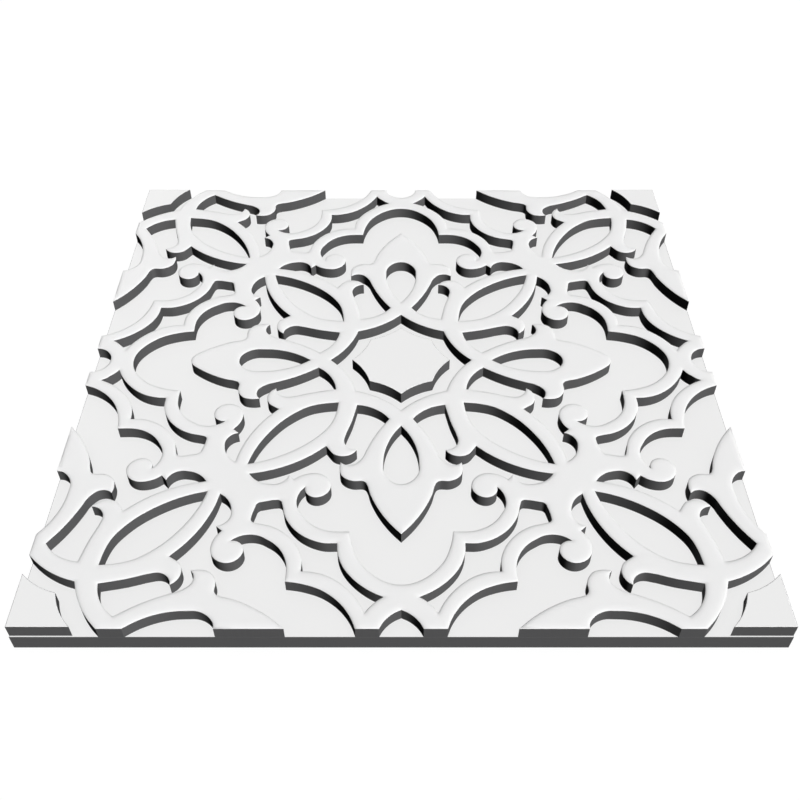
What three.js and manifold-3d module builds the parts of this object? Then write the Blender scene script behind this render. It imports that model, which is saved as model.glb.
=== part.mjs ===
// Hanging room divider panel: a square white back board carrying a raised arabesque fretwork, an eight-pointed
// star plate in the middle of it and a quarter star plate in each corner. The panel lies flat here, as it is
// stored: +Z is its front face, -Y its lower edge and +Y the edge it hangs from. Millimetres, origin in the
// middle of the rear face.
import * as THREE from 'three';
import { mergeVertices } from 'three/addons/utils/BufferGeometryUtils.js';
import Module from 'manifold-3d';

const wasm = await Module();
wasm.setup();

// Driving dimensions
const PANEL_SIDE = 600;
const BOARD_THICKNESS = 15;
const FRETWORK_THICKNESS = 12;
const PLATE_THICKNESS = 12.4;

// The fretwork is a hair smaller than the board, apart from its lower edge, which is flush
const FRETWORK_SIDE_INSET = 0.4;
const FRETWORK_TOP_INSET = 1;

// The two lower corner plates stop short of the board's lower edge
const LOWER_PLATE_SETBACK = 1.3;

// Star plates: distances from the star's centre to a point on the axes and to one on the diagonals
const STAR_PLATE_AXIS_TIP = 47.5;
const STAR_PLATE_DIAGONAL_TIP = 30;
const STAR_PLATE_SIDE = [37.5, 12.5];
const CORNER_PLATE_GROWTH = 1.02;

// Countersunk wood screws driven from the rear
const SCREW_LENGTH = 20;
const SCREW_HEAD_RADIUS = 4;
const SCREW_HEAD_RIM = 0.4;
const SCREW_SHANK_RADIUS = 2;
const SCREW_TIP_LENGTH = 4;
const SCREW_HEAD_DEPTH = 0.3;
const CROSS_RECESS_SPAN = 4.4;
const CROSS_RECESS_SLOT = 0.9;
const CROSS_RECESS_DEPTH = 1.6;
const FIT_GAP = 0.3;

// Threaded inserts that the hanging wires' hooks screw into
const INSERT_SPACING = 400;
const INSERT_RADIUS = 4;
const INSERT_THREAD_RADIUS = 2.1;
const INSERT_LENGTH = 12;
const INSERT_CHAMFER = 0.8;
const INSERT_BORE_DEPTH = 20;

// Largest distance between a drawn arc and its chords
const ARC_TOLERANCE = 0.22;
const ROUND_SIDES = 12;

// Length by which a cutter runs past the face it cuts, and distance within which two vertices are one
const THROUGH = 1;
const SAME_VERTEX = 1e-4;

const HALF = PANEL_SIDE / 2;
const FRONT_FACE = BOARD_THICKNESS + FRETWORK_THICKNESS;

// Outlines. A path is a start point and a list of steps. A step [x, y] is a straight line to that point, and a
// step [[x, y], [x, y]] is an arc that passes through the first point and ends on the second.
function arcThrough([ax, ay], [bx, by], [cx, cy]) {
  const twist = 2 * (ax * (by - cy) + bx * (cy - ay) + cx * (ay - by));
  const a = ax * ax + ay * ay;
  const b = bx * bx + by * by;
  const c = cx * cx + cy * cy;
  const ox = (a * (by - cy) + b * (cy - ay) + c * (ay - by)) / twist;
  const oy = (a * (cx - bx) + b * (ax - cx) + c * (bx - ax)) / twist;
  const radius = Math.hypot(ax - ox, ay - oy);
  const start = Math.atan2(ay - oy, ax - ox);
  const turn = Math.sign(twist);
  let sweep = turn * (Math.atan2(cy - oy, cx - ox) - start);
  if (sweep < 0) sweep += 2 * Math.PI;
  const step = 2 * Math.acos(1 - ARC_TOLERANCE / radius);
  const count = Math.max(2, Math.ceil(sweep / step));
  const points = [];
  for (let i = 1; i < count; i += 1) {
    const angle = start + (turn * sweep * i) / count;
    points.push([ox + radius * Math.cos(angle), oy + radius * Math.sin(angle)]);
  }
  points.push([cx, cy]);
  return points;
}

function trace(start, steps) {
  const points = [start];
  for (const step of steps) {
    const from = points[points.length - 1];
    if (Array.isArray(step[0])) points.push(...arcThrough(from, step[0], step[1]));
    else points.push(step);
  }
  return points;
}

const overAxis = ([x, y]) => [x, -y];
const overDiagonal = ([x, y]) => [y, x];
const overKnotDiagonal = ([x, y]) => [HALF - y, HALF - x];
const quarterTurn = ([x, y]) => [-y, x];

// Joins half an outline, drawn from fold to fold, to its mirror image
function unfold(half, mirror) {
  const rest = half.slice(1, -1).reverse();
  return [...half, ...rest.map(mirror)];
}

// Joins one eighth of an outline, drawn from the x axis to the diagonal, to its seven mirror images
function unfoldEightfold(eighth) {
  let quarter = [...eighth, ...eighth.slice(0, -1).reverse().map(overDiagonal)].slice(0, -1);
  const outline = [];
  for (let turn = 0; turn < 4; turn += 1) {
    outline.push(...quarter);
    quarter = quarter.map(quarterTurn);
  }
  return outline;
}

// The ornament repeats about two kinds of centre: the stars, in the middle and on the corners of the panel, and
// the knots in the middle of its edges. Every outline below is drawn to the right of the middle star.
const CORNERS = [[-HALF, -HALF], [HALF, -HALF], [HALF, HALF], [-HALF, HALF]];
const STAR_CENTRES = [[0, 0], ...CORNERS];
const KNOT_CENTRES = [[HALF, 0], [0, HALF], [-HALF, 0], [0, -HALF]];

const shift = (outline, [dx, dy]) => outline.map(([x, y]) => [x + dx, y + dy]);

function fourAbout(outline, centre) {
  const copies = [];
  let copy = outline;
  for (let turn = 0; turn < 4; turn += 1) {
    copies.push(shift(copy, centre));
    copy = copy.map(quarterTurn);
  }
  return copies;
}

// Eight-pointed star opening
const starOpening = unfoldEightfold(trace([68.6, 0], [
  [[52.4, 20], [42.8, 42.8]],
]));

// Almond opening between the petals, on the diagonal
const almondOpening = unfold(trace([58.3, 58.3], [
  [[69.2, 59.4], [80.8, 62]],
  [[86.8, 64.5], [93.8, 68.9]],
  [[105.2, 78.6], [116.6, 92.7]],
  [[126.9, 110.8], [134.7, 134.7]],
]), overDiagonal);

// Teardrop opening inside the flower
const teardropOpening = unfold(trace([88.2, 0], [
  [[111, 12.2], [136, 15.8]],
  [[147.2, 14.1], [154.6, 8.3]],
  [[156.9, 4.3], [157.5, 0]],
]), overAxis);

// The field round a flower: along the flower and its hooked leaf, round the petal with its curled tip, up the
// petal to the half-moon, back round the scroll and out along the ribbon to the axis.
const FLOWER_FOOT = [156.5, 30];
const RIBBON_TURN = [236, 35.3];
const fieldSteps = [
  [[154.3, 32.4], [153.8, 35.8]],
  [[152, 46.9], [147.1, 52.1]],
  [[140.8, 53.7], [132.7, 53.1]],
  [[135.6, 48.1], [134.3, 40.1]],
  [[129, 35.3], [120, 31.5]],
  [[98.5, 22.3], [79.6, 10.7]],
  [[67, 24.1], [61.5, 40.8]],
  [[80, 44.4], [103.1, 50.8]],
  [[112, 49.6], [118.1, 39.5]],
  [[124.9, 48.1], [122.3, 60.3]],
  [[118.2, 63.5], [113.1, 66.9]],
  [[132.6, 92.6], [145.7, 132]],
  [[153.2, 125.1], [157.4, 113.5]],
  [[155.9, 103.5], [147, 97.1]],
  [152.2, 92.5],
  [[147.1, 84.8], [145.2, 77]],
  [[149, 65.3], [159, 60.3]],
  [[168.8, 64.4], [172.1, 72.1]],
  [[169.6, 79.1], [160.6, 82.3]],
  [[174, 88.5], [189.2, 84.2]],
  [[203.3, 71.1], [208.4, 54]],
  [208.3, 42.7],
  [[222.5, 40.2], RIBBON_TURN],
];

// The flower's tip is pointed or blunt, and the ribbon's end is a pointed arch or round
const pointedTip = [[[185, 19.2], FLOWER_FOOT]];
const bluntTip = [[[203.2, 4.6], [199.8, 8.6]], [[180, 21.5], FLOWER_FOOT]];
const archedEnd = [[[252.4, 22.5], [264.8, 0]]];
const roundEnd = [[[248.8, 25.4], [257.2, 13.7]], [[259.6, 7], [260.4, 0]]];
const archedField = unfold(trace([211, 0], [...pointedTip, ...fieldSteps, ...archedEnd]), overAxis);
const pointedField = unfold(trace([211, 0], [...pointedTip, ...fieldSteps, ...roundEnd]), overAxis);
const bluntField = unfold(trace([204.4, 0], [...bluntTip, ...fieldSteps, ...roundEnd]), overAxis);

// Slot between two ribbons, folded about the diagonal through the knot
const ribbonSlot = unfold(trace([178.7, 121.3], [
  [[177.7, 120], [177.2, 117.9]],
  [174.8, 104.8],
  [[175.5, 102.5], [178, 100.9]],
  [[184.1, 99.3], [190.1, 97.9]],
  [[210, 84.2], [220.1, 62.5]],
  [220.1, 52.2],
  [[237.5, 49.4], [250.2, 42.3]],
  [[262.2, 30.3], [271.7, 13.8]],
  [[274.5, 18.2], [278.1, 21.9]],
]), overKnotDiagonal);

// Eye of the knot: a pointed arch in the lower edge, and round in the other three
const KNOT_EYE_RADIUS = 17;
const roundEye = unfold(trace([-KNOT_EYE_RADIUS, 0], [
  [[0, KNOT_EYE_RADIUS], [KNOT_EYE_RADIUS, 0]],
]), overAxis);
const archedEye = unfold(trace([-KNOT_EYE_RADIUS, 0], [
  [[-10.7, 9.6], [0, 16.7]],
  [[10.7, 9.6], [KNOT_EYE_RADIUS, 0]],
]), overAxis);

const openings = [];
for (const centre of STAR_CENTRES) {
  openings.push(shift(starOpening, centre));
  openings.push(...fourAbout(almondOpening, centre));
  openings.push(...fourAbout(teardropOpening, centre));
}
const pointedFields = fourAbout(pointedField, [0, 0]);
const bluntFields = fourAbout(bluntField, [0, 0]);
openings.push(bluntFields[0], pointedFields[1], bluntFields[2], pointedFields[3]);
for (const corner of CORNERS) openings.push(...fourAbout(archedField, corner));
const slotAboutKnot = shift(ribbonSlot, [-HALF, 0]);
for (const centre of KNOT_CENTRES) {
  openings.push(...fourAbout(slotAboutKnot, centre));
  openings.push(shift(centre[1] < 0 ? archedEye : roundEye, centre));
}

// Solids
function solidFrom(geometry) {
  const bare = geometry.clone();
  bare.deleteAttribute('normal');
  bare.deleteAttribute('uv');
  const merged = mergeVertices(bare, SAME_VERTEX);
  const index = merged.index.array;
  const triVerts = [];
  for (let i = 0; i < index.length; i += 3) {
    const [a, b, c] = [index[i], index[i + 1], index[i + 2]];
    if (a !== b && b !== c && c !== a) triVerts.push(a, b, c);
  }
  return new wasm.Manifold(new wasm.Mesh({
    numProp: 3,
    vertProperties: new Float32Array(merged.attributes.position.array),
    triVerts: new Uint32Array(triVerts),
  }));
}

function geometryFrom(solid) {
  const mesh = solid.getMesh();
  const geometry = new THREE.BufferGeometry();
  geometry.setAttribute('position', new THREE.BufferAttribute(mesh.vertProperties, 3));
  geometry.setIndex(new THREE.BufferAttribute(mesh.triVerts, 1));
  geometry.computeVertexNormals();
  return geometry;
}

function prism(outline, low, high) {
  const shape = new THREE.Shape(outline.map(([x, y]) => new THREE.Vector2(x, y)));
  const geometry = new THREE.ExtrudeGeometry(shape, { depth: high - low, bevelEnabled: false });
  geometry.translate(0, 0, low);
  return solidFrom(geometry);
}

function block([x0, y0, z0], [x1, y1, z1]) {
  const geometry = new THREE.BoxGeometry(x1 - x0, y1 - y0, z1 - z0);
  geometry.translate((x0 + x1) / 2, (y0 + y1) / 2, (z0 + z1) / 2);
  return solidFrom(geometry);
}

// Turns a profile of [radius, height] points round the Z axis
function turned(profile) {
  const points = profile.map(([radius, height]) => new THREE.Vector2(radius, height));
  const geometry = new THREE.LatheGeometry(points, ROUND_SIDES);
  geometry.rotateX(Math.PI / 2);
  return solidFrom(geometry);
}

// Screw places, by the piece that each screw holds
const NODE = HALF / 2;
const EDGE_KNOT = 273;
const RING = 50.7;
const CORNER_RING = HALF - RING;
const STAR_SCREW = 20;
const CORNER_SCREW = [30, 11];
const fretworkScrews = [];
for (const [sx, sy] of [[-1, -1], [1, -1], [1, 1], [-1, 1]]) {
  fretworkScrews.push([sx * NODE, sy * NODE]);
  fretworkScrews.push([sx * RING, sy * RING]);
  fretworkScrews.push([sx * CORNER_RING, sy * CORNER_RING]);
}
fretworkScrews.push([EDGE_KNOT, 0], [0, EDGE_KNOT], [-EDGE_KNOT, 0], [0, -EDGE_KNOT]);
const starScrews = [[-STAR_SCREW, 0], [STAR_SCREW, 0]];
const cornerScrews = ([x, y]) => [CORNER_SCREW, overDiagonal(CORNER_SCREW)].map(
  ([dx, dy]) => [x - Math.sign(x) * dx, y - Math.sign(y) * dy],
);

const SCREW_TOP = SCREW_HEAD_DEPTH + SCREW_LENGTH;
const CONE_START = SCREW_HEAD_DEPTH + SCREW_HEAD_RIM;
const CONE_HEIGHT = SCREW_HEAD_RADIUS - SCREW_SHANK_RADIUS;

function screwSolid() {
  const body = turned([
    [0, SCREW_HEAD_DEPTH],
    [SCREW_HEAD_RADIUS, SCREW_HEAD_DEPTH],
    [SCREW_HEAD_RADIUS, CONE_START],
    [SCREW_SHANK_RADIUS, CONE_START + CONE_HEIGHT],
    [SCREW_SHANK_RADIUS, SCREW_TOP - SCREW_TIP_LENGTH],
    [0, SCREW_TOP],
  ]);
  const span = CROSS_RECESS_SPAN / 2;
  const slot = CROSS_RECESS_SLOT / 2;
  const recessTop = SCREW_HEAD_DEPTH + CROSS_RECESS_DEPTH;
  const slotX = block([-span, -slot, -THROUGH], [span, slot, recessTop]);
  const slotY = block([-slot, -span, -THROUGH], [slot, span, recessTop]);
  return body.subtract(slotX.add(slotY));
}

// Countersunk clearance hole through the board
function screwHole() {
  const mouth = SCREW_HEAD_RADIUS + FIT_GAP;
  const coneStart = CONE_START + FIT_GAP / 2;
  return turned([
    [0, -THROUGH],
    [mouth, -THROUGH],
    [mouth, coneStart],
    [SCREW_SHANK_RADIUS + FIT_GAP, coneStart + CONE_HEIGHT],
    [SCREW_SHANK_RADIUS + FIT_GAP, BOARD_THICKNESS + THROUGH],
    [0, BOARD_THICKNESS + THROUGH],
  ]);
}

// Blind pilot hole in the piece that the screw holds
function pilotHole() {
  const radius = SCREW_SHANK_RADIUS + FIT_GAP;
  return turned([
    [0, BOARD_THICKNESS - THROUGH],
    [radius, BOARD_THICKNESS - THROUGH],
    [radius, SCREW_TOP + 2 * FIT_GAP],
    [0, SCREW_TOP + 2 * FIT_GAP],
  ]);
}

function drill(solid, cutter, places) {
  let drilled = solid;
  for (const [x, y] of places) drilled = drilled.subtract(cutter.translate([x, y, 0]));
  return drilled;
}

// Pieces
const panel = new THREE.Group();
panel.name = 'hanging_room_divider_panel';

function addPiece(name, solid, look) {
  const mesh = new THREE.Mesh(geometryFrom(solid), new THREE.MeshStandardMaterial(look));
  mesh.name = name;
  panel.add(mesh);
  return mesh;
}

const whiteBoard = { color: 0xe9e9e8, roughness: 0.55, metalness: 0 };
const whiteFretwork = { color: 0xf2f2f1, roughness: 0.5, metalness: 0 };
const whitePlate = { color: 0xeeeeed, roughness: 0.5, metalness: 0 };
const zinc = { color: 0xb9bcc0, roughness: 0.35, metalness: 1 };
const brass = { color: 0xb8954a, roughness: 0.35, metalness: 1 };

// Back board, drilled for every screw and for the two hanging inserts
const allScrews = [...fretworkScrews, ...starScrews, ...CORNERS.flatMap(cornerScrews)];
const insertPlaces = [-INSERT_SPACING / 2, INSERT_SPACING / 2];
const insertHeight = BOARD_THICKNESS / 2;
const insertBore = turned([
  [0, -INSERT_BORE_DEPTH],
  [INSERT_RADIUS + FIT_GAP, -INSERT_BORE_DEPTH],
  [INSERT_RADIUS + FIT_GAP, THROUGH],
  [0, THROUGH],
]).rotate([-90, 0, 0]);
let backBoard = block([-HALF, -HALF, 0], [HALF, HALF, BOARD_THICKNESS]);
backBoard = drill(backBoard, screwHole(), allScrews);
for (const x of insertPlaces) backBoard = backBoard.subtract(insertBore.translate([x, HALF, insertHeight]));
addPiece('back_board', backBoard, whiteBoard);

// Fretwork, cut from one sheet
let fretwork = block(
  [-HALF + FRETWORK_SIDE_INSET, -HALF, BOARD_THICKNESS],
  [HALF - FRETWORK_SIDE_INSET, HALF - FRETWORK_TOP_INSET, FRONT_FACE],
);
for (const outline of openings) {
  fretwork = fretwork.subtract(prism(outline, BOARD_THICKNESS - THROUGH, FRONT_FACE + THROUGH));
}
fretwork = drill(fretwork, pilotHole(), fretworkScrews);
addPiece('fretwork', fretwork, whiteFretwork);

// Star plates
const starPlateOutline = unfoldEightfold(trace([STAR_PLATE_AXIS_TIP, 0], [
  [STAR_PLATE_SIDE, [STAR_PLATE_DIAGONAL_TIP, STAR_PLATE_DIAGONAL_TIP]],
]));
const PLATE_FACE = BOARD_THICKNESS + PLATE_THICKNESS;
const starPlate = prism(starPlateOutline, BOARD_THICKNESS, PLATE_FACE);
addPiece('centre_star_plate', drill(starPlate, pilotHole(), starScrews), whitePlate);

const cornerNames = ['lower_left', 'lower_right', 'upper_right', 'upper_left'];
const cornerStar = starPlateOutline.map(([x, y]) => [x * CORNER_PLATE_GROWTH, y * CORNER_PLATE_GROWTH]);
CORNERS.forEach(([x, y], i) => {
  const edgeY = y < 0 ? y + LOWER_PLATE_SETBACK : y;
  const star = prism(shift(cornerStar, [x, edgeY]), BOARD_THICKNESS, PLATE_FACE);
  const quarter = block(
    [Math.min(x, 0), Math.min(edgeY, 0), BOARD_THICKNESS - THROUGH],
    [Math.max(x, 0), Math.max(edgeY, 0), PLATE_FACE + THROUGH],
  );
  const plate = drill(star.intersect(quarter), pilotHole(), cornerScrews([x, y]));
  addPiece(`corner_plate_${cornerNames[i]}`, plate, whitePlate);
});

// Screws
function addScrews(prefix, places) {
  const screw = screwSolid();
  places.forEach(([x, y], i) => {
    const mesh = addPiece(`${prefix}_${i + 1}`, screw, zinc);
    mesh.position.set(x, y, 0);
  });
}
addScrews('fretwork_screw', fretworkScrews);
addScrews('star_screw', starScrews);
addScrews('corner_screw', CORNERS.flatMap(cornerScrews));

// Threaded inserts in the hanging edge
const insert = turned([
  [INSERT_THREAD_RADIUS, -INSERT_LENGTH],
  [INSERT_RADIUS, -INSERT_LENGTH],
  [INSERT_RADIUS, 0],
  [INSERT_THREAD_RADIUS + INSERT_CHAMFER, 0],
  [INSERT_THREAD_RADIUS, -INSERT_CHAMFER],
  [INSERT_THREAD_RADIUS, -INSERT_LENGTH],
]).rotate([-90, 0, 0]);
insertPlaces.forEach((x, i) => {
  const mesh = addPiece(`hanging_insert_${['left', 'right'][i]}`, insert, brass);
  mesh.position.set(x, HALF - FIT_GAP, insertHeight);
});

export default panel;
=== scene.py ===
from math import atan2, hypot, radians, tau

import bmesh
import bpy
from mathutils import Matrix, Vector
from mathutils.bvhtree import BVHTree
from mathutils.geometry import delaunay_2d_cdt


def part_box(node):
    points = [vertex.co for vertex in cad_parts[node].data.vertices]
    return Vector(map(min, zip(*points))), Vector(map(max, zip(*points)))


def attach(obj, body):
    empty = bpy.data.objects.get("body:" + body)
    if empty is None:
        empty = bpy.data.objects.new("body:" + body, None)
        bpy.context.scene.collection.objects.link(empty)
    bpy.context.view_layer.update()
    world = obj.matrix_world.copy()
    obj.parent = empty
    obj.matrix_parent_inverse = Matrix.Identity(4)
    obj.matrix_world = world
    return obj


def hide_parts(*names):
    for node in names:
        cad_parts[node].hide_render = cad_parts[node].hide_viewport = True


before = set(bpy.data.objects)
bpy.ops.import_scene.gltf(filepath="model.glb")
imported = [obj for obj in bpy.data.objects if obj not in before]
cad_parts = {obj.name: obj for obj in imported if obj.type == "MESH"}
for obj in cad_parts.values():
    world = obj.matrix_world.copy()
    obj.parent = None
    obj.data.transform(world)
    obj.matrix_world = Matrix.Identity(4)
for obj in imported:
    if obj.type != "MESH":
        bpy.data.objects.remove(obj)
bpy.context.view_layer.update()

# Camera: in front of the panel's lower edge and above it, looking half way down on the panel as it lies on
# its back. Its place and lens give the slant and the size that the panel has in the photograph.
bpy.ops.object.camera_add(location=(-0.00105, -0.6961, 0.66589), rotation=(radians(45.085), 0, 0))
camera = bpy.context.object
camera.name = "camera"
camera.data.lens = 43.591
camera.data.clip_start = 0.01
bpy.context.scene.camera = camera
bpy.context.scene.view_settings.view_transform = "Standard"

# Studio light: a key from the front right without shadows, so that the relief reads by the tilt of its faces
# alone, a wide lamp overhead that grounds the panel, a weak one for the walls that face the rear, and a
# white room for the camera and for shiny metal.
bpy.ops.object.light_add(type="SUN", location=(0.6, -0.4, 1.2), rotation=(radians(45), 0, radians(45)))
key_lamp = bpy.context.object
key_lamp.name = "key_lamp"
key_lamp.data.energy = 3.76
key_lamp.data.angle = radians(8)
key_lamp.data.use_shadow = False
bpy.ops.object.light_add(type="SUN", location=(0, 0, 1.5))
overhead_lamp = bpy.context.object
overhead_lamp.name = "overhead_lamp"
overhead_lamp.data.energy = 0.14
overhead_lamp.data.angle = radians(60)
bpy.ops.object.light_add(type="SUN", location=(-0.4, 0.9, 0.3), rotation=(radians(75), 0, radians(203)))
rear_lamp = bpy.context.object
rear_lamp.name = "rear_lamp"
rear_lamp.data.energy = 0.7
rear_lamp.data.use_shadow = False
bpy.context.scene.cycles.diffuse_bounces = 0

room = bpy.data.worlds.new("white_room")
bpy.context.scene.world = room
room.use_nodes = True
nodes, links = room.node_tree.nodes, room.node_tree.links
ray = nodes.new("ShaderNodeLightPath")
camera_or_gloss = nodes.new("ShaderNodeMath")
camera_or_gloss.operation = "MAXIMUM"
links.new(ray.outputs["Is Camera Ray"], camera_or_gloss.inputs[0])
links.new(ray.outputs["Is Glossy Ray"], camera_or_gloss.inputs[1])
nodes["Background"].inputs["Color"].default_value = (1, 1, 1, 1)
dim = nodes.new("ShaderNodeMath")
dim.operation = "MAXIMUM"
dim.inputs[1].default_value = 0.035
links.new(camera_or_gloss.outputs[0], dim.inputs[0])
links.new(dim.outputs[0], nodes["Background"].inputs["Strength"])

# Floor: a plain white studio floor under the panel. The camera sees it a touch lighter than its paint, so
# that it is white all round the panel and only the panel's shadow greys it.
bpy.ops.object.select_all(action="DESELECT")
bpy.ops.mesh.primitive_plane_add(size=8, location=(0, 0, -0.0001))
floor = bpy.context.object
floor.name = "studio_floor"
floor_paint = bpy.data.materials.new("floor_paint")
floor_paint.use_nodes = True
nodes, links = floor_paint.node_tree.nodes, floor_paint.node_tree.links
shader = nodes["Principled BSDF"]
shader.inputs["Base Color"].default_value = (0.9, 0.9, 0.9, 1)
shader.inputs["Roughness"].default_value = 1
shader.inputs["Specular IOR Level"].default_value = 0
shader.inputs["Emission Color"].default_value = (1, 1, 1, 1)
ray = nodes.new("ShaderNodeLightPath")
lift = nodes.new("ShaderNodeMath")
lift.operation = "MULTIPLY"
lift.inputs[1].default_value = 0.135
links.new(ray.outputs["Is Camera Ray"], lift.inputs[0])
links.new(lift.outputs[0], shader.inputs["Emission Strength"])
floor.data.materials.append(floor_paint)

# Back board: a square of 15 mm fibreboard, sprayed white on both faces, with its sawn edges given a dark
# grey that is painted shade. It is drilled and countersunk from behind for the screws that hold what is on
# it.
BOARD_FACE = 0.015
BOARD_EASED = 0.0003
BOARD_EASED_DROP = 0.00015
LEVEL_FACE = 0.95
HOLE_SIDES = 32
SCREW_MOUTH = 0.0043
SCREW_MOUTH_DEPTH = 0.00085
SCREW_CLEARANCE = 0.0023
INSERT_BORE = 0.0043
INSERT_BORE_DEPTH = 0.02
DRILL_OVERRUN = 0.001
SAME_HEIGHT = 1e-5
SMOOTH_UNDER = 18
# The board's white is a touch lighter than the plates' and the fretwork's: a painted lift against the shade
# that falls on it between the raised parts.
BOARD_WHITE = (0.86, 0.86, 0.858)
# The dark grey for the upright walls and the sawn and routed edges is painted shade, not a colour of the
# board.
WALL_SHADE_GREY = (0.128, 0.128, 0.13)


def pick(piece, kind, wanted):
    bpy.ops.mesh.select_mode(type=kind)
    bpy.ops.mesh.select_all(action="DESELECT")
    mesh = bmesh.from_edit_mesh(piece.data)
    for part in mesh.faces if kind == "FACE" else mesh.edges:
        if wanted(part):
            part.select_set(True)
    bmesh.update_edit_mesh(piece.data)


def at_height(part, height):
    return all(abs(corner.co.z - height) < SAME_HEIGHT for corner in part.verts)


def finish_piece(piece, face_finish, edge_finish, faced):
    piece.data.materials.append(edge_finish)
    piece.data.materials.append(face_finish)
    pick(piece, "FACE", faced)
    piece.active_material_index = 1
    bpy.ops.object.material_slot_assign()
    bpy.ops.object.mode_set(mode="OBJECT")
    bpy.ops.object.shade_smooth_by_angle(angle=radians(SMOOTH_UNDER))


def make_group(name, inputs, outputs):
    group = bpy.data.node_groups.new(name, "ShaderNodeTree")
    for label, kind, value in inputs:
        group.interface.new_socket(label, in_out="INPUT", socket_type=kind).default_value = value
    for label, kind in outputs:
        group.interface.new_socket(label, in_out="OUTPUT", socket_type=kind)
    return group, group.nodes.new("NodeGroupInput"), group.nodes.new("NodeGroupOutput")


def turn_on_lathe(name, sides, outline):
    """Draws a turned piece upright at the origin, ring by ring, each ring a radius and a height."""
    bpy.ops.object.select_all(action="DESELECT")
    radius, height = outline[0]
    bpy.ops.mesh.primitive_circle_add(vertices=sides, radius=radius, location=(0, 0, height))
    bpy.ops.object.transform_apply(location=True)
    piece = bpy.context.object
    piece.name = piece.data.name = name
    bpy.ops.object.mode_set(mode="EDIT")
    bpy.ops.mesh.select_mode(type="VERT")
    bpy.ops.mesh.select_all(action="SELECT")
    for next_radius, next_height in outline[1:]:
        bpy.ops.mesh.extrude_region_move(TRANSFORM_OT_translate={"value": (0, 0, next_height - height)})
        spread = next_radius / radius
        bpy.ops.transform.resize(value=(spread, spread, 1), center_override=(0, 0, 0))
        radius, height = next_radius, next_height
    return piece


def close_turned(piece):
    bpy.ops.mesh.select_all(action="SELECT")
    bpy.ops.mesh.remove_doubles(threshold=1e-6)
    bpy.ops.mesh.select_all(action="SELECT")
    bpy.ops.mesh.fill_holes(sides=0)
    bpy.ops.mesh.select_all(action="SELECT")
    bpy.ops.mesh.normals_make_consistent(inside=False)
    bpy.ops.object.mode_set(mode="OBJECT")


def placed_copy(pattern, name, place):
    piece = pattern.copy()
    piece.name = name
    piece.data = pattern.data.copy()
    piece.data.transform(place)
    bpy.context.collection.objects.link(piece)
    return piece


def carve(piece, cutter):
    bpy.context.view_layer.objects.active = piece
    cutting = piece.modifiers.new("carving", "BOOLEAN")
    cutting.operation = "DIFFERENCE"
    cutting.object = cutter
    bpy.ops.object.modifier_apply(modifier=cutting.name)
    bpy.data.objects.remove(cutter)


# Sprayed film: a slow drift of thickness across the sheet and the fine orange peel of the gun
sprayed_film, film_in, film_out = make_group(
    "sprayed_film",
    [("Colour", "NodeSocketColor", (0.8, 0.8, 0.8, 1)), ("Roughness", "NodeSocketFloat", 0.4),
     ("Peel Scale", "NodeSocketFloat", 600)],
    [("Colour", "NodeSocketColor"), ("Roughness", "NodeSocketFloat"), ("Height", "NodeSocketFloat")],
)
nodes, links = sprayed_film.nodes, sprayed_film.links
place = nodes.new("ShaderNodeTexCoord")
drift = nodes.new("ShaderNodeTexNoise")
drift.inputs["Scale"].default_value = 7
drift.inputs["Detail"].default_value = 3
links.new(place.outputs["Object"], drift.inputs["Vector"])
tint = nodes.new("ShaderNodeMapRange")
tint.inputs["To Min"].default_value = 0.985
tint.inputs["To Max"].default_value = 1.015
links.new(drift.outputs["Fac"], tint.inputs["Value"])
tinted = nodes.new("ShaderNodeVectorMath")
tinted.operation = "SCALE"
links.new(film_in.outputs["Colour"], tinted.inputs[0])
links.new(tint.outputs["Result"], tinted.inputs["Scale"])
links.new(tinted.outputs["Vector"], film_out.inputs["Colour"])
peel = nodes.new("ShaderNodeTexNoise")
peel.inputs["Detail"].default_value = 1
links.new(place.outputs["Object"], peel.inputs["Vector"])
links.new(film_in.outputs["Peel Scale"], peel.inputs["Scale"])
links.new(peel.outputs["Fac"], film_out.inputs["Height"])
patchy = nodes.new("ShaderNodeMapRange")
patchy.inputs["To Min"].default_value = -0.05
patchy.inputs["To Max"].default_value = 0.05
links.new(drift.outputs["Fac"], patchy.inputs["Value"])
rough = nodes.new("ShaderNodeMath")
rough.operation = "ADD"
links.new(film_in.outputs["Roughness"], rough.inputs[0])
links.new(patchy.outputs["Result"], rough.inputs[1])
links.new(rough.outputs[0], film_out.inputs["Roughness"])

# Cut fibre: the pressed layers of the board show as fine level streaks, and the cutter leaves upright marks,
# over a given colour, which on the walls is painted shade
cut_fibre, fibre_in, fibre_out = make_group(
    "cut_fibre",
    [("Colour", "NodeSocketColor", (0.2, 0.2, 0.2, 1)), ("Contrast", "NodeSocketFloat", 0.12),
     ("Cutter Marks", "NodeSocketFloat", 0.5)],
    [("Colour", "NodeSocketColor"), ("Roughness", "NodeSocketFloat"), ("Height", "NodeSocketFloat")],
)
nodes, links = cut_fibre.nodes, cut_fibre.links
place = nodes.new("ShaderNodeTexCoord")
level = nodes.new("ShaderNodeMapping")
level.inputs["Scale"].default_value = (90, 90, 1500)
links.new(place.outputs["Object"], level.inputs["Vector"])
layers = nodes.new("ShaderNodeTexNoise")
layers.inputs["Scale"].default_value = 1
layers.inputs["Detail"].default_value = 4
links.new(level.outputs["Vector"], layers.inputs["Vector"])
upright = nodes.new("ShaderNodeMapping")
upright.inputs["Scale"].default_value = (800, 800, 25)
links.new(place.outputs["Object"], upright.inputs["Vector"])
marks = nodes.new("ShaderNodeTexNoise")
marks.inputs["Scale"].default_value = 1
marks.inputs["Detail"].default_value = 2
links.new(upright.outputs["Vector"], marks.inputs["Vector"])
marked = nodes.new("ShaderNodeMix")
links.new(fibre_in.outputs["Cutter Marks"], marked.inputs["Factor"])
links.new(layers.outputs["Fac"], marked.inputs["A"])
links.new(marks.outputs["Fac"], marked.inputs["B"])
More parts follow.
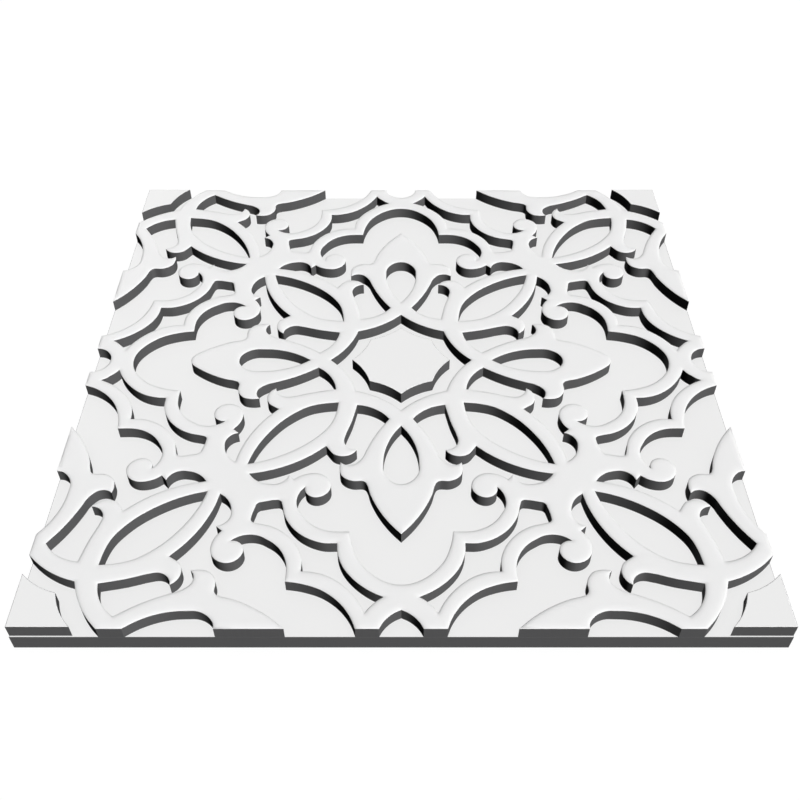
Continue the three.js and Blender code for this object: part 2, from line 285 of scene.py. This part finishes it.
links.new(marked.outputs["Result"], fibre_out.inputs["Height"])
centred = nodes.new("ShaderNodeMath")
centred.operation = "MULTIPLY_ADD"
centred.inputs[1].default_value = 2
centred.inputs[2].default_value = -1
links.new(marked.outputs["Result"], centred.inputs[0])
streak = nodes.new("ShaderNodeMath")
streak.operation = "MULTIPLY_ADD"
streak.inputs[2].default_value = 1
links.new(centred.outputs[0], streak.inputs[0])
links.new(fibre_in.outputs["Contrast"], streak.inputs[1])
streaked = nodes.new("ShaderNodeVectorMath")
streaked.operation = "SCALE"
links.new(fibre_in.outputs["Colour"], streaked.inputs[0])
links.new(streak.outputs[0], streaked.inputs["Scale"])
links.new(streaked.outputs["Vector"], fibre_out.inputs["Colour"])
dull = nodes.new("ShaderNodeMapRange")
dull.inputs["To Min"].default_value = 0.7
dull.inputs["To Max"].default_value = 0.95
links.new(layers.outputs["Fac"], dull.inputs["Value"])
links.new(dull.outputs["Result"], fibre_out.inputs["Roughness"])


def sprayed(name, colour, roughness, peel_scale, peel_depth):
    finish = bpy.data.materials.new(name)
    finish.use_nodes = True
    nodes, links = finish.node_tree.nodes, finish.node_tree.links
    shader = nodes["Principled BSDF"]
    film = nodes.new("ShaderNodeGroup")
    film.node_tree = sprayed_film
    film.inputs["Colour"].default_value = (*colour, 1)
    film.inputs["Roughness"].default_value = roughness
    film.inputs["Peel Scale"].default_value = peel_scale
    bump = nodes.new("ShaderNodeBump")
    bump.inputs["Distance"].default_value = peel_depth
    links.new(film.outputs["Colour"], shader.inputs["Base Color"])
    links.new(film.outputs["Roughness"], shader.inputs["Roughness"])
    links.new(film.outputs["Height"], bump.inputs["Height"])
    links.new(bump.outputs["Normal"], shader.inputs["Normal"])
    shader.inputs["Specular IOR Level"].default_value = 0.15
    return finish


def cut(name, colour, contrast, cutter_marks, depth):
    finish = bpy.data.materials.new(name)
    finish.use_nodes = True
    nodes, links = finish.node_tree.nodes, finish.node_tree.links
    shader = nodes["Principled BSDF"]
    fibre = nodes.new("ShaderNodeGroup")
    fibre.node_tree = cut_fibre
    fibre.inputs["Colour"].default_value = (*colour, 1)
    fibre.inputs["Contrast"].default_value = contrast
    fibre.inputs["Cutter Marks"].default_value = cutter_marks
    bump = nodes.new("ShaderNodeBump")
    bump.inputs["Distance"].default_value = depth
    links.new(fibre.outputs["Colour"], shader.inputs["Base Color"])
    links.new(fibre.outputs["Roughness"], shader.inputs["Roughness"])
    links.new(fibre.outputs["Height"], bump.inputs["Height"])
    links.new(bump.outputs["Normal"], shader.inputs["Normal"])
    shader.inputs["Specular IOR Level"].default_value = 0
    return finish


board_lacquer = sprayed("board_lacquer", BOARD_WHITE, 0.5, 550, 4e-6)
# The sawn edges' dark grey is painted shade.
sawn_edge_painted_shade = cut("sawn_edge_painted_shade", WALL_SHADE_GREY, 0.14, 0.2, 2e-5)

low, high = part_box("back_board")
half_side = high[0]
board_size = (high[0] - low[0], high[1] - low[1], BOARD_FACE)
bpy.ops.object.select_all(action="DESELECT")
bpy.ops.mesh.primitive_cube_add(size=1, location=(0, 0, BOARD_FACE / 2), scale=board_size)
bpy.ops.object.transform_apply(location=True, scale=True)
board = bpy.context.object
board.name = board.data.name = "panel_back_board"
bpy.ops.object.mode_set(mode="EDIT")
for height, outward in ((BOARD_FACE, 1), (0, -1)):
    pick(board, "EDGE", lambda edge: at_height(edge, height))
    bpy.ops.mesh.bevel(offset=BOARD_EASED, affect="EDGES")
    pick(board, "EDGE", lambda edge: at_height(edge, height - outward * BOARD_EASED))
    bpy.ops.transform.translate(value=(0, 0, outward * (BOARD_EASED - BOARD_EASED_DROP)))
bpy.ops.object.mode_set(mode="OBJECT")

countersink = turn_on_lathe("countersink", HOLE_SIDES, [
    (SCREW_MOUTH, -DRILL_OVERRUN),
    (SCREW_MOUTH, SCREW_MOUTH_DEPTH),
    (SCREW_CLEARANCE, SCREW_MOUTH_DEPTH + SCREW_MOUTH - SCREW_CLEARANCE),
    (SCREW_CLEARANCE, BOARD_FACE + DRILL_OVERRUN),
])
close_turned(countersink)
insert_drill = turn_on_lathe("insert_drill", HOLE_SIDES, [
    (INSERT_BORE, -DRILL_OVERRUN),
    (INSERT_BORE, INSERT_BORE_DEPTH),
])
close_turned(insert_drill)
insert_drill.data.transform(Matrix.Rotation(tau / 4, 4, "X"))
for node in sorted(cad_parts):
    inner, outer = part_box(node)
    middle = [(inner[axis] + outer[axis]) / 2 for axis in range(3)]
    if "screw" in node:
        carve(board, placed_copy(countersink, "drill", Matrix.Translation((middle[0], middle[1], 0))))
    if "insert" in node:
        carve(board, placed_copy(insert_drill, "drill", Matrix.Translation((middle[0], high[1], middle[2]))))
bpy.data.objects.remove(countersink)
bpy.data.objects.remove(insert_drill)

board.select_set(True)
bpy.context.view_layer.objects.active = board
bpy.ops.object.mode_set(mode="EDIT")


def on_board_face(face):
    heights = [corner.co.z for corner in face.verts]
    outermost = min(heights) > BOARD_FACE - BOARD_EASED or max(heights) < BOARD_EASED
    return abs(face.normal.z) > LEVEL_FACE and outermost


finish_piece(board, board_lacquer, sawn_edge_painted_shade, on_board_face)
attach(board, "root")
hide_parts("back_board")

# Star plates: an eight-pointed star in the middle and a quarter of one in each corner, routed from the same
# board, a hair thicker than the fretwork, sprayed white, their walls given a dark grey that is painted
# shade, and screwed down from behind.
PLATE_FACE = 0.0274
PLATE_RIM = [(0.0002, 0.0001), (0.0004, 0.00016)]
PLATE_FACE_TILT = 0.91
PLATE_WHITE = (0.85, 0.85, 0.848)
SAME_CORNER = 1e-5
SAME_PLANE = 0.5
WALL_CORNER = 30
SHORTEST_CHORD = 0.0012
SAME_ARC_POINT = 2e-6


def merged_copy(node, name):
    piece = bpy.data.objects.new(name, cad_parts[node].data.copy())
    piece.data.materials.clear()
    bpy.context.collection.objects.link(piece)
    bpy.ops.object.select_all(action="DESELECT")
    piece.select_set(True)
    bpy.context.view_layer.objects.active = piece
    bpy.ops.mesh.customdata_custom_splitnormals_clear()
    bpy.ops.object.mode_set(mode="EDIT")
    bpy.ops.mesh.select_all(action="SELECT")
    bpy.ops.mesh.remove_doubles(threshold=SAME_CORNER)
    return piece


def rounded_walls(piece, front, rim):
    """Draws the upright walls again on true arcs, closes them behind and in front, and eases the front rim
    in steps, each so far in from the wall and so far up."""
    pick(piece, "FACE", lambda face: at_height(face, front) or at_height(face, BOARD_FACE))
    bpy.ops.mesh.delete(type="FACE")
    bpy.ops.mesh.select_all(action="SELECT")
    bpy.ops.mesh.dissolve_limited(angle_limit=radians(SAME_PLANE))
    bpy.ops.mesh.select_mode(type="EDGE")
    bpy.ops.mesh.select_all(action="DESELECT")
    bpy.ops.mesh.edges_select_sharp(sharpness=radians(WALL_CORNER))
    bpy.ops.mesh.edge_split(type="EDGE")

    def chord(edge):
        level = edge.verts[0].co.z == edge.verts[1].co.z
        if not (edge.is_boundary and level and edge.calc_length() >= SHORTEST_CHORD):
            return False
        return max(corner.co.z for corner in edge.link_faces[0].verts) > front - SAME_HEIGHT

    pick(piece, "EDGE", chord)
    bpy.ops.mesh.subdivide(number_cuts=2, smoothness=1)
    bpy.ops.mesh.select_all(action="SELECT")
    bpy.ops.mesh.remove_doubles(threshold=SAME_ARC_POINT)
    pick(piece, "EDGE", lambda edge: edge.is_boundary and at_height(edge, BOARD_FACE))
    bpy.ops.mesh.fill()
    pick(piece, "EDGE", lambda edge: edge.is_boundary and at_height(edge, front))
    bpy.ops.transform.translate(value=(0, 0, -sum(rise for width, rise in rim)))
    bpy.ops.mesh.fill()
    for width, rise in rim:
        bpy.ops.mesh.inset(thickness=width, depth=rise)


plate_lacquer = sprayed("plate_lacquer", PLATE_WHITE, 0.48, 600, 4e-6)
# The routed walls' dark grey is painted shade.
routed_edge_painted_shade = cut("routed_edge_painted_shade", WALL_SHADE_GREY, 0.1, 0.55, 1.5e-5)

for node in ("centre_star_plate", "corner_plate_lower_left", "corner_plate_lower_right",
             "corner_plate_upper_right", "corner_plate_upper_left"):
    plate = merged_copy(node, "white_" + node)
    rounded_walls(plate, PLATE_FACE, PLATE_RIM)
    finish_piece(plate, plate_lacquer, routed_edge_painted_shade, lambda face: face.normal.z > PLATE_FACE_TILT)
    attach(plate, "root")
    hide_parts(node)

# Fretwork: ribbons, petals and scrolls routed from one sheet of 12 mm board, its walls given a dark grey
# that is painted shade. Its front face is sanded off softly towards every edge before it is sprayed, so that
# the light rolls over it.
FRETWORK_FACE = 0.027
FRETWORK_WHITE = (0.85, 0.85, 0.85)
CROWN = 0.02738
ROLL_WIDTH = 0.0075
ROLL_DROP = 0.0004
ROLL_SLOPE = 0.3
EDGE_WIDTH = 0.0024
EDGE_SLOPE = 0.3
RIM_WIDTH = 0.0006
RIM_SLOPE = 1.2
RIM_EASED = 0.0002
RIM_DROP = 0.00015
RIM_BAND = 0.0004
FRONT_TILT = 0.3
ROLL_TILT = 0.9
UPRIGHT = 0.1
WALL_LEVEL = 0.023
ABOVE_ALL = 0.1
GRID = 0.0016
FLAT_GRID = 4
CLEAR_OF_RIM = 3 * RIM_BAND

fretwork_lacquer = sprayed("fretwork_lacquer", FRETWORK_WHITE, 0.45, 600, 4e-6)

fretwork = merged_copy("fretwork", "arabesque_fretwork")
rounded_walls(fretwork, FRETWORK_FACE, [(RIM_EASED, RIM_DROP), (RIM_BAND, 0)])

mesh = bmesh.from_edit_mesh(fretwork.data)
points = [corner.co.copy() for corner in mesh.verts]


def search_tree(wanted):
    corners = [[corner.index for corner in face.verts] for face in mesh.faces if wanted(face)]
    return BVHTree.FromPolygons(points, corners)


def reaches_front(face):
    return abs(face.normal.z) < UPRIGHT and max(corner.co.z for corner in face.verts) > WALL_LEVEL


walls = search_tree(reaches_front)
inner_face = search_tree(lambda face: face.select)


def nearest_wall(x, y):
    """The nearest point of a wall to this place on the front, and how far off it is."""
    wall, normal, index, distance = walls.find_nearest(Vector((x, y, WALL_LEVEL)))
    return wall, distance


def in_inner_face(x, y):
    return inner_face.ray_cast(Vector((x, y, ABOVE_ALL)), Vector((0, 0, -1)))[0] is not None


rim_edges = [edge for edge in mesh.edges if sum(face.select for face in edge.link_faces) == 1]
rim = sorted({corner.index for edge in rim_edges for corner in edge.verts})
order = {index: count for count, index in enumerate(rim)}
rim_lines = [[order[corner.index] for corner in edge.verts] for edge in rim_edges]
spread = [Vector(points[index].xy) for index in rim]
reach = int(half_side / GRID)
for row in range(-reach, reach + 1):
    for column in range(-reach, reach + 1):
        x, y = (column + row % 2 / 2) * GRID, row * GRID
        distance = nearest_wall(x, y)[1]
        on_flat = distance > ROLL_WIDTH
        if distance < CLEAR_OF_RIM or (on_flat and (row % FLAT_GRID or column % FLAT_GRID)):
            continue
        if in_inner_face(x, y):
            spread.append(Vector((x, y)))
laid = delaunay_2d_cdt(spread, rim_lines, [], 1, 1e-7, False)

bpy.ops.mesh.delete(type="FACE")
mesh = bmesh.from_edit_mesh(fretwork.data)
mesh.verts.ensure_lookup_table()
corners = [mesh.verts[index] for index in rim]
corners += [mesh.verts.new((point.x, point.y, FRETWORK_FACE)) for point in laid[0][len(rim):]]
for face in laid[2]:
    middle = sum((laid[0][index] for index in face), Vector((0, 0))) / len(face)
    if in_inner_face(*middle):
        mesh.faces.new([corners[index] for index in face])
for corner in mesh.verts:
    if corner.co.z > FRETWORK_FACE - SAME_HEIGHT:
        share = max(0, 1 - nearest_wall(*corner.co.xy)[1] / ROLL_WIDTH)
        corner.co.z = CROWN - ROLL_DROP * share ** 3
    elif corner.co.z > FRETWORK_FACE - RIM_DROP - SAME_HEIGHT:
        corner.co.z = CROWN - ROLL_DROP - RIM_DROP
bmesh.update_edit_mesh(fretwork.data)
bpy.ops.mesh.select_all(action="SELECT")
bpy.ops.mesh.normals_make_consistent(inside=False)
finish_piece(fretwork, fretwork_lacquer, routed_edge_painted_shade, lambda face: face.normal.z > FRONT_TILT)

# The sprayed film flows thin over the edge, so the front face catches the light as a deeper roll would
lean = [(0, 0, 0)] * len(fretwork.data.loops)
for face in fretwork.data.polygons:
    if face.normal.z > ROLL_TILT:
        for index in face.loop_indices:
            corner = fretwork.data.vertices[fretwork.data.loops[index].vertex_index].co
            wall, distance = nearest_wall(*corner.xy)
            slope = ROLL_SLOPE * max(0, 1 - distance / ROLL_WIDTH) ** 2
            slope += EDGE_SLOPE * max(0, 1 - distance / EDGE_WIDTH)
            slope += RIM_SLOPE * max(0, 1 - distance / RIM_WIDTH)
            out = (wall.xy - corner.xy).normalized() * slope
            lean[index] = Vector((out.x, out.y, 1)).normalized()
fretwork.data.normals_split_custom_set(lean)
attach(fretwork, "root")
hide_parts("fretwork")

# Screws: countersunk M4 screws, 20 mm long, cold headed with a cross recess, rolled with a coarse thread and
# zinc plated. Each is driven from behind, through the board and into the piece that it holds.
SCREW_SIDES = 24
SCREW_HEAD_RADIUS = 0.004
SCREW_HEAD_EASED = 0.00012
SCREW_HEAD_RIM = 0.0004
SCREW_CORE = 0.00145
SCREW_CREST = 0.00195
SCREW_PITCH = 0.0018
SCREW_LENGTH = 0.02
SCREW_TIP = 0.004
SCREW_POINT = 0.05
BARE_POINT = 0.0004
RECESS_SPAN = 0.0044
RECESS_SLOT = 0.0009
RECESS_DEPTH = 0.0016
RECESS_DRAWN_IN = 0.45
RINGS_A_TURN = 6
RIDGE_REACH = 0.3
METAL_SMOOTH_UNDER = 25


def thread(piece, wanted, pitch, depth):
    """Raises a thread on the rings that are wanted, as a ridge that climbs one pitch in each turn."""
    mesh = bmesh.from_edit_mesh(piece.data)
    for corner in mesh.verts:
        radius = hypot(corner.co.x, corner.co.y)
        if radius > 1e-6 and wanted(radius, corner.co.z):
            turned = (corner.co.z / pitch - atan2(corner.co.y, corner.co.x) / tau) % 1
            ridge = depth * max(0, 1 - abs(turned - 0.5) / RIDGE_REACH)
            corner.co.xy *= 1 + ridge / radius
    bmesh.update_edit_mesh(piece.data)


def cut_slot(piece, length, width, depth, drawn_in):
    """Sinks a slot into the turned piece from the side of its origin, drawn in towards the slot's floor."""
    bpy.ops.mesh.primitive_cube_add(size=1, location=(0, 0, 0), scale=(length, width, 2 * depth))
    slot_cutter = bpy.context.object
    bpy.ops.object.mode_set(mode="EDIT")
    pick(slot_cutter, "FACE", lambda face: face.normal.z > 0.9)
    bpy.ops.transform.resize(value=(drawn_in, 1, 1), center_override=(0, 0, depth))
    bpy.ops.object.mode_set(mode="OBJECT")
    carve(piece, slot_cutter)


# Bare and plated metal: a fine grain in the shine, and slow patches where it has dulled
worked_metal, metal_in, metal_out = make_group(
    "worked_metal",
    [("Colour", "NodeSocketColor", (0.6, 0.6, 0.6, 1)),
     ("Dulled Colour", "NodeSocketColor", (0.5, 0.5, 0.5, 1)),
     ("Roughness", "NodeSocketFloat", 0.3), ("Grain Scale", "NodeSocketFloat", 3000)],
    [("Colour", "NodeSocketColor"), ("Roughness", "NodeSocketFloat"), ("Height", "NodeSocketFloat")],
)
nodes, links = worked_metal.nodes, worked_metal.links
place = nodes.new("ShaderNodeTexCoord")
patches = nodes.new("ShaderNodeTexNoise")
patches.inputs["Scale"].default_value = 260
patches.inputs["Detail"].default_value = 3
links.new(place.outputs["Object"], patches.inputs["Vector"])
dulled = nodes.new("ShaderNodeMix")
dulled.data_type = "RGBA"
links.new(patches.outputs["Fac"], dulled.inputs["Factor"])
links.new(metal_in.outputs["Colour"], dulled.inputs["A"])
links.new(metal_in.outputs["Dulled Colour"], dulled.inputs["B"])
links.new(dulled.outputs["Result"], metal_out.inputs["Colour"])
grain = nodes.new("ShaderNodeTexNoise")
grain.inputs["Detail"].default_value = 2
links.new(place.outputs["Object"], grain.inputs["Vector"])
links.new(metal_in.outputs["Grain Scale"], grain.inputs["Scale"])
links.new(grain.outputs["Fac"], metal_out.inputs["Height"])
uneven = nodes.new("ShaderNodeMapRange")
uneven.inputs["To Min"].default_value = -0.12
uneven.inputs["To Max"].default_value = 0.12
links.new(grain.outputs["Fac"], uneven.inputs["Value"])
shine = nodes.new("ShaderNodeMath")
shine.operation = "ADD"
links.new(metal_in.outputs["Roughness"], shine.inputs[0])
links.new(uneven.outputs["Result"], shine.inputs[1])
links.new(shine.outputs[0], metal_out.inputs["Roughness"])


def metal(name, colour, dulled_colour, roughness, grain_scale, grain_depth):
    finish = bpy.data.materials.new(name)
    finish.use_nodes = True
    nodes, links = finish.node_tree.nodes, finish.node_tree.links
    shader = nodes["Principled BSDF"]
    worked = nodes.new("ShaderNodeGroup")
    worked.node_tree = worked_metal
    worked.inputs["Colour"].default_value = (*colour, 1)
    worked.inputs["Dulled Colour"].default_value = (*dulled_colour, 1)
    worked.inputs["Roughness"].default_value = roughness
    worked.inputs["Grain Scale"].default_value = grain_scale
    bump = nodes.new("ShaderNodeBump")
    bump.inputs["Distance"].default_value = grain_depth
    links.new(worked.outputs["Colour"], shader.inputs["Base Color"])
    links.new(worked.outputs["Roughness"], shader.inputs["Roughness"])
    links.new(worked.outputs["Height"], bump.inputs["Height"])
    links.new(bump.outputs["Normal"], shader.inputs["Normal"])
    shader.inputs["Metallic"].default_value = 1
    return finish


screw_zinc = metal("screw_zinc", (0.66, 0.67, 0.7), (0.5, 0.5, 0.5), 0.34, 2600, 4e-6)

cone_end = SCREW_HEAD_RIM + SCREW_HEAD_RADIUS - SCREW_CORE
screw_outline = [(SCREW_HEAD_RADIUS - SCREW_HEAD_EASED, 0), (SCREW_HEAD_RADIUS, SCREW_HEAD_EASED),
                 (SCREW_HEAD_RADIUS, SCREW_HEAD_RIM), (SCREW_CORE, cone_end)]
height = cone_end + SCREW_PITCH / RINGS_A_TURN
while height < SCREW_LENGTH:
    taper = min(1, SCREW_POINT + (SCREW_LENGTH - height) / SCREW_TIP)
    screw_outline.append((SCREW_CORE * taper, height))
    height += SCREW_PITCH / RINGS_A_TURN
pattern_screw = turn_on_lathe("pattern_screw", SCREW_SIDES, screw_outline)
bpy.ops.mesh.merge(type="CENTER")
bpy.ops.transform.translate(value=(0, 0, SCREW_LENGTH - screw_outline[-1][1]))
thread_start, thread_end = cone_end + SCREW_PITCH / 2, SCREW_LENGTH - BARE_POINT
thread(pattern_screw, lambda radius, height: thread_start < height < thread_end,
       SCREW_PITCH, SCREW_CREST - SCREW_CORE)
close_turned(pattern_screw)
cut_slot(pattern_screw, RECESS_SPAN, RECESS_SLOT, RECESS_DEPTH, RECESS_DRAWN_IN)
pattern_screw.data.transform(Matrix.Rotation(tau / 4, 4, "Z"))
cut_slot(pattern_screw, RECESS_SPAN, RECESS_SLOT, RECESS_DEPTH, RECESS_DRAWN_IN)
pattern_screw.data.materials.append(screw_zinc)
pattern_screw.select_set(True)
bpy.ops.object.shade_smooth_by_angle(angle=radians(METAL_SMOOTH_UNDER))

for node in sorted(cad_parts):
    if "screw" in node:
        low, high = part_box(node)
        place = Matrix.Translation(((low[0] + high[0]) / 2, (low[1] + high[1]) / 2, low[2]))
        screw = placed_copy(pattern_screw, "zinc_" + node, place)
        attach(screw, "root")
        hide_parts(node)
bpy.data.objects.remove(pattern_screw)

# Hanging inserts: turned brass nuts with a coarse wood thread outside and a machine thread inside. They are
# driven into the board's upper edge with a blade across the slot in their face, and take the hanging hooks.
INSERT_SIDES = 32
INSERT_LENGTH = 0.012
INSERT_CREST = 0.004
INSERT_ROOT = 0.0034
INSERT_PITCH = 0.0025
INSERT_EASED = 0.0003
BORE_CREST = 0.0021
BORE_ROOT = 0.00245
BORE_PITCH = 0.0008
BORE_CHAMFER = 0.0008
INSERT_SLOT = 0.001
INSERT_SLOT_DEPTH = 0.0012

insert_brass = metal("insert_brass", (0.72, 0.5, 0.22), (0.42, 0.27, 0.11), 0.3, 1800, 3e-6)

insert_outline = [
    (BORE_CREST + BORE_CHAMFER, 0),
    (INSERT_ROOT - INSERT_EASED, 0),
    (INSERT_ROOT, INSERT_EASED),
]
height = INSERT_EASED + INSERT_PITCH / RINGS_A_TURN
while height < INSERT_LENGTH - INSERT_EASED:
    insert_outline.append((INSERT_ROOT, height))
    height += INSERT_PITCH / RINGS_A_TURN
insert_outline += [(INSERT_ROOT - INSERT_EASED, INSERT_LENGTH), (BORE_ROOT, INSERT_LENGTH)]
height = INSERT_LENGTH - BORE_PITCH / RINGS_A_TURN
while height > BORE_CHAMFER:
    insert_outline.append((BORE_ROOT, height))
    height -= BORE_PITCH / RINGS_A_TURN
insert_outline.append(insert_outline[0])
pattern_insert = turn_on_lathe("pattern_insert", INSERT_SIDES, insert_outline)


def between_ends(height):
    return INSERT_EASED * 2 < height < INSERT_LENGTH - INSERT_EASED * 2


thread(pattern_insert, lambda radius, height: radius > INSERT_ROOT - SAME_HEIGHT and between_ends(height),
       INSERT_PITCH, INSERT_CREST - INSERT_ROOT)
thread(pattern_insert, lambda radius, height: radius < BORE_ROOT + SAME_HEIGHT and BORE_CHAMFER < height,
       BORE_PITCH, BORE_CREST - BORE_ROOT)
close_turned(pattern_insert)
cut_slot(pattern_insert, 4 * INSERT_CREST, INSERT_SLOT, INSERT_SLOT_DEPTH, 1)
pattern_insert.data.materials.append(insert_brass)
pattern_insert.select_set(True)
bpy.ops.object.shade_smooth_by_angle(angle=radians(METAL_SMOOTH_UNDER))

for node in ("hanging_insert_left", "hanging_insert_right"):
    low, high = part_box(node)
    place = Matrix.Translation(((low[0] + high[0]) / 2, high[1], (low[2] + high[2]) / 2))
    insert = placed_copy(pattern_insert, "brass_" + node, place @ Matrix.Rotation(tau / 4, 4, "X"))
    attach(insert, "root")
    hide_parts(node)
bpy.data.objects.remove(pattern_insert)
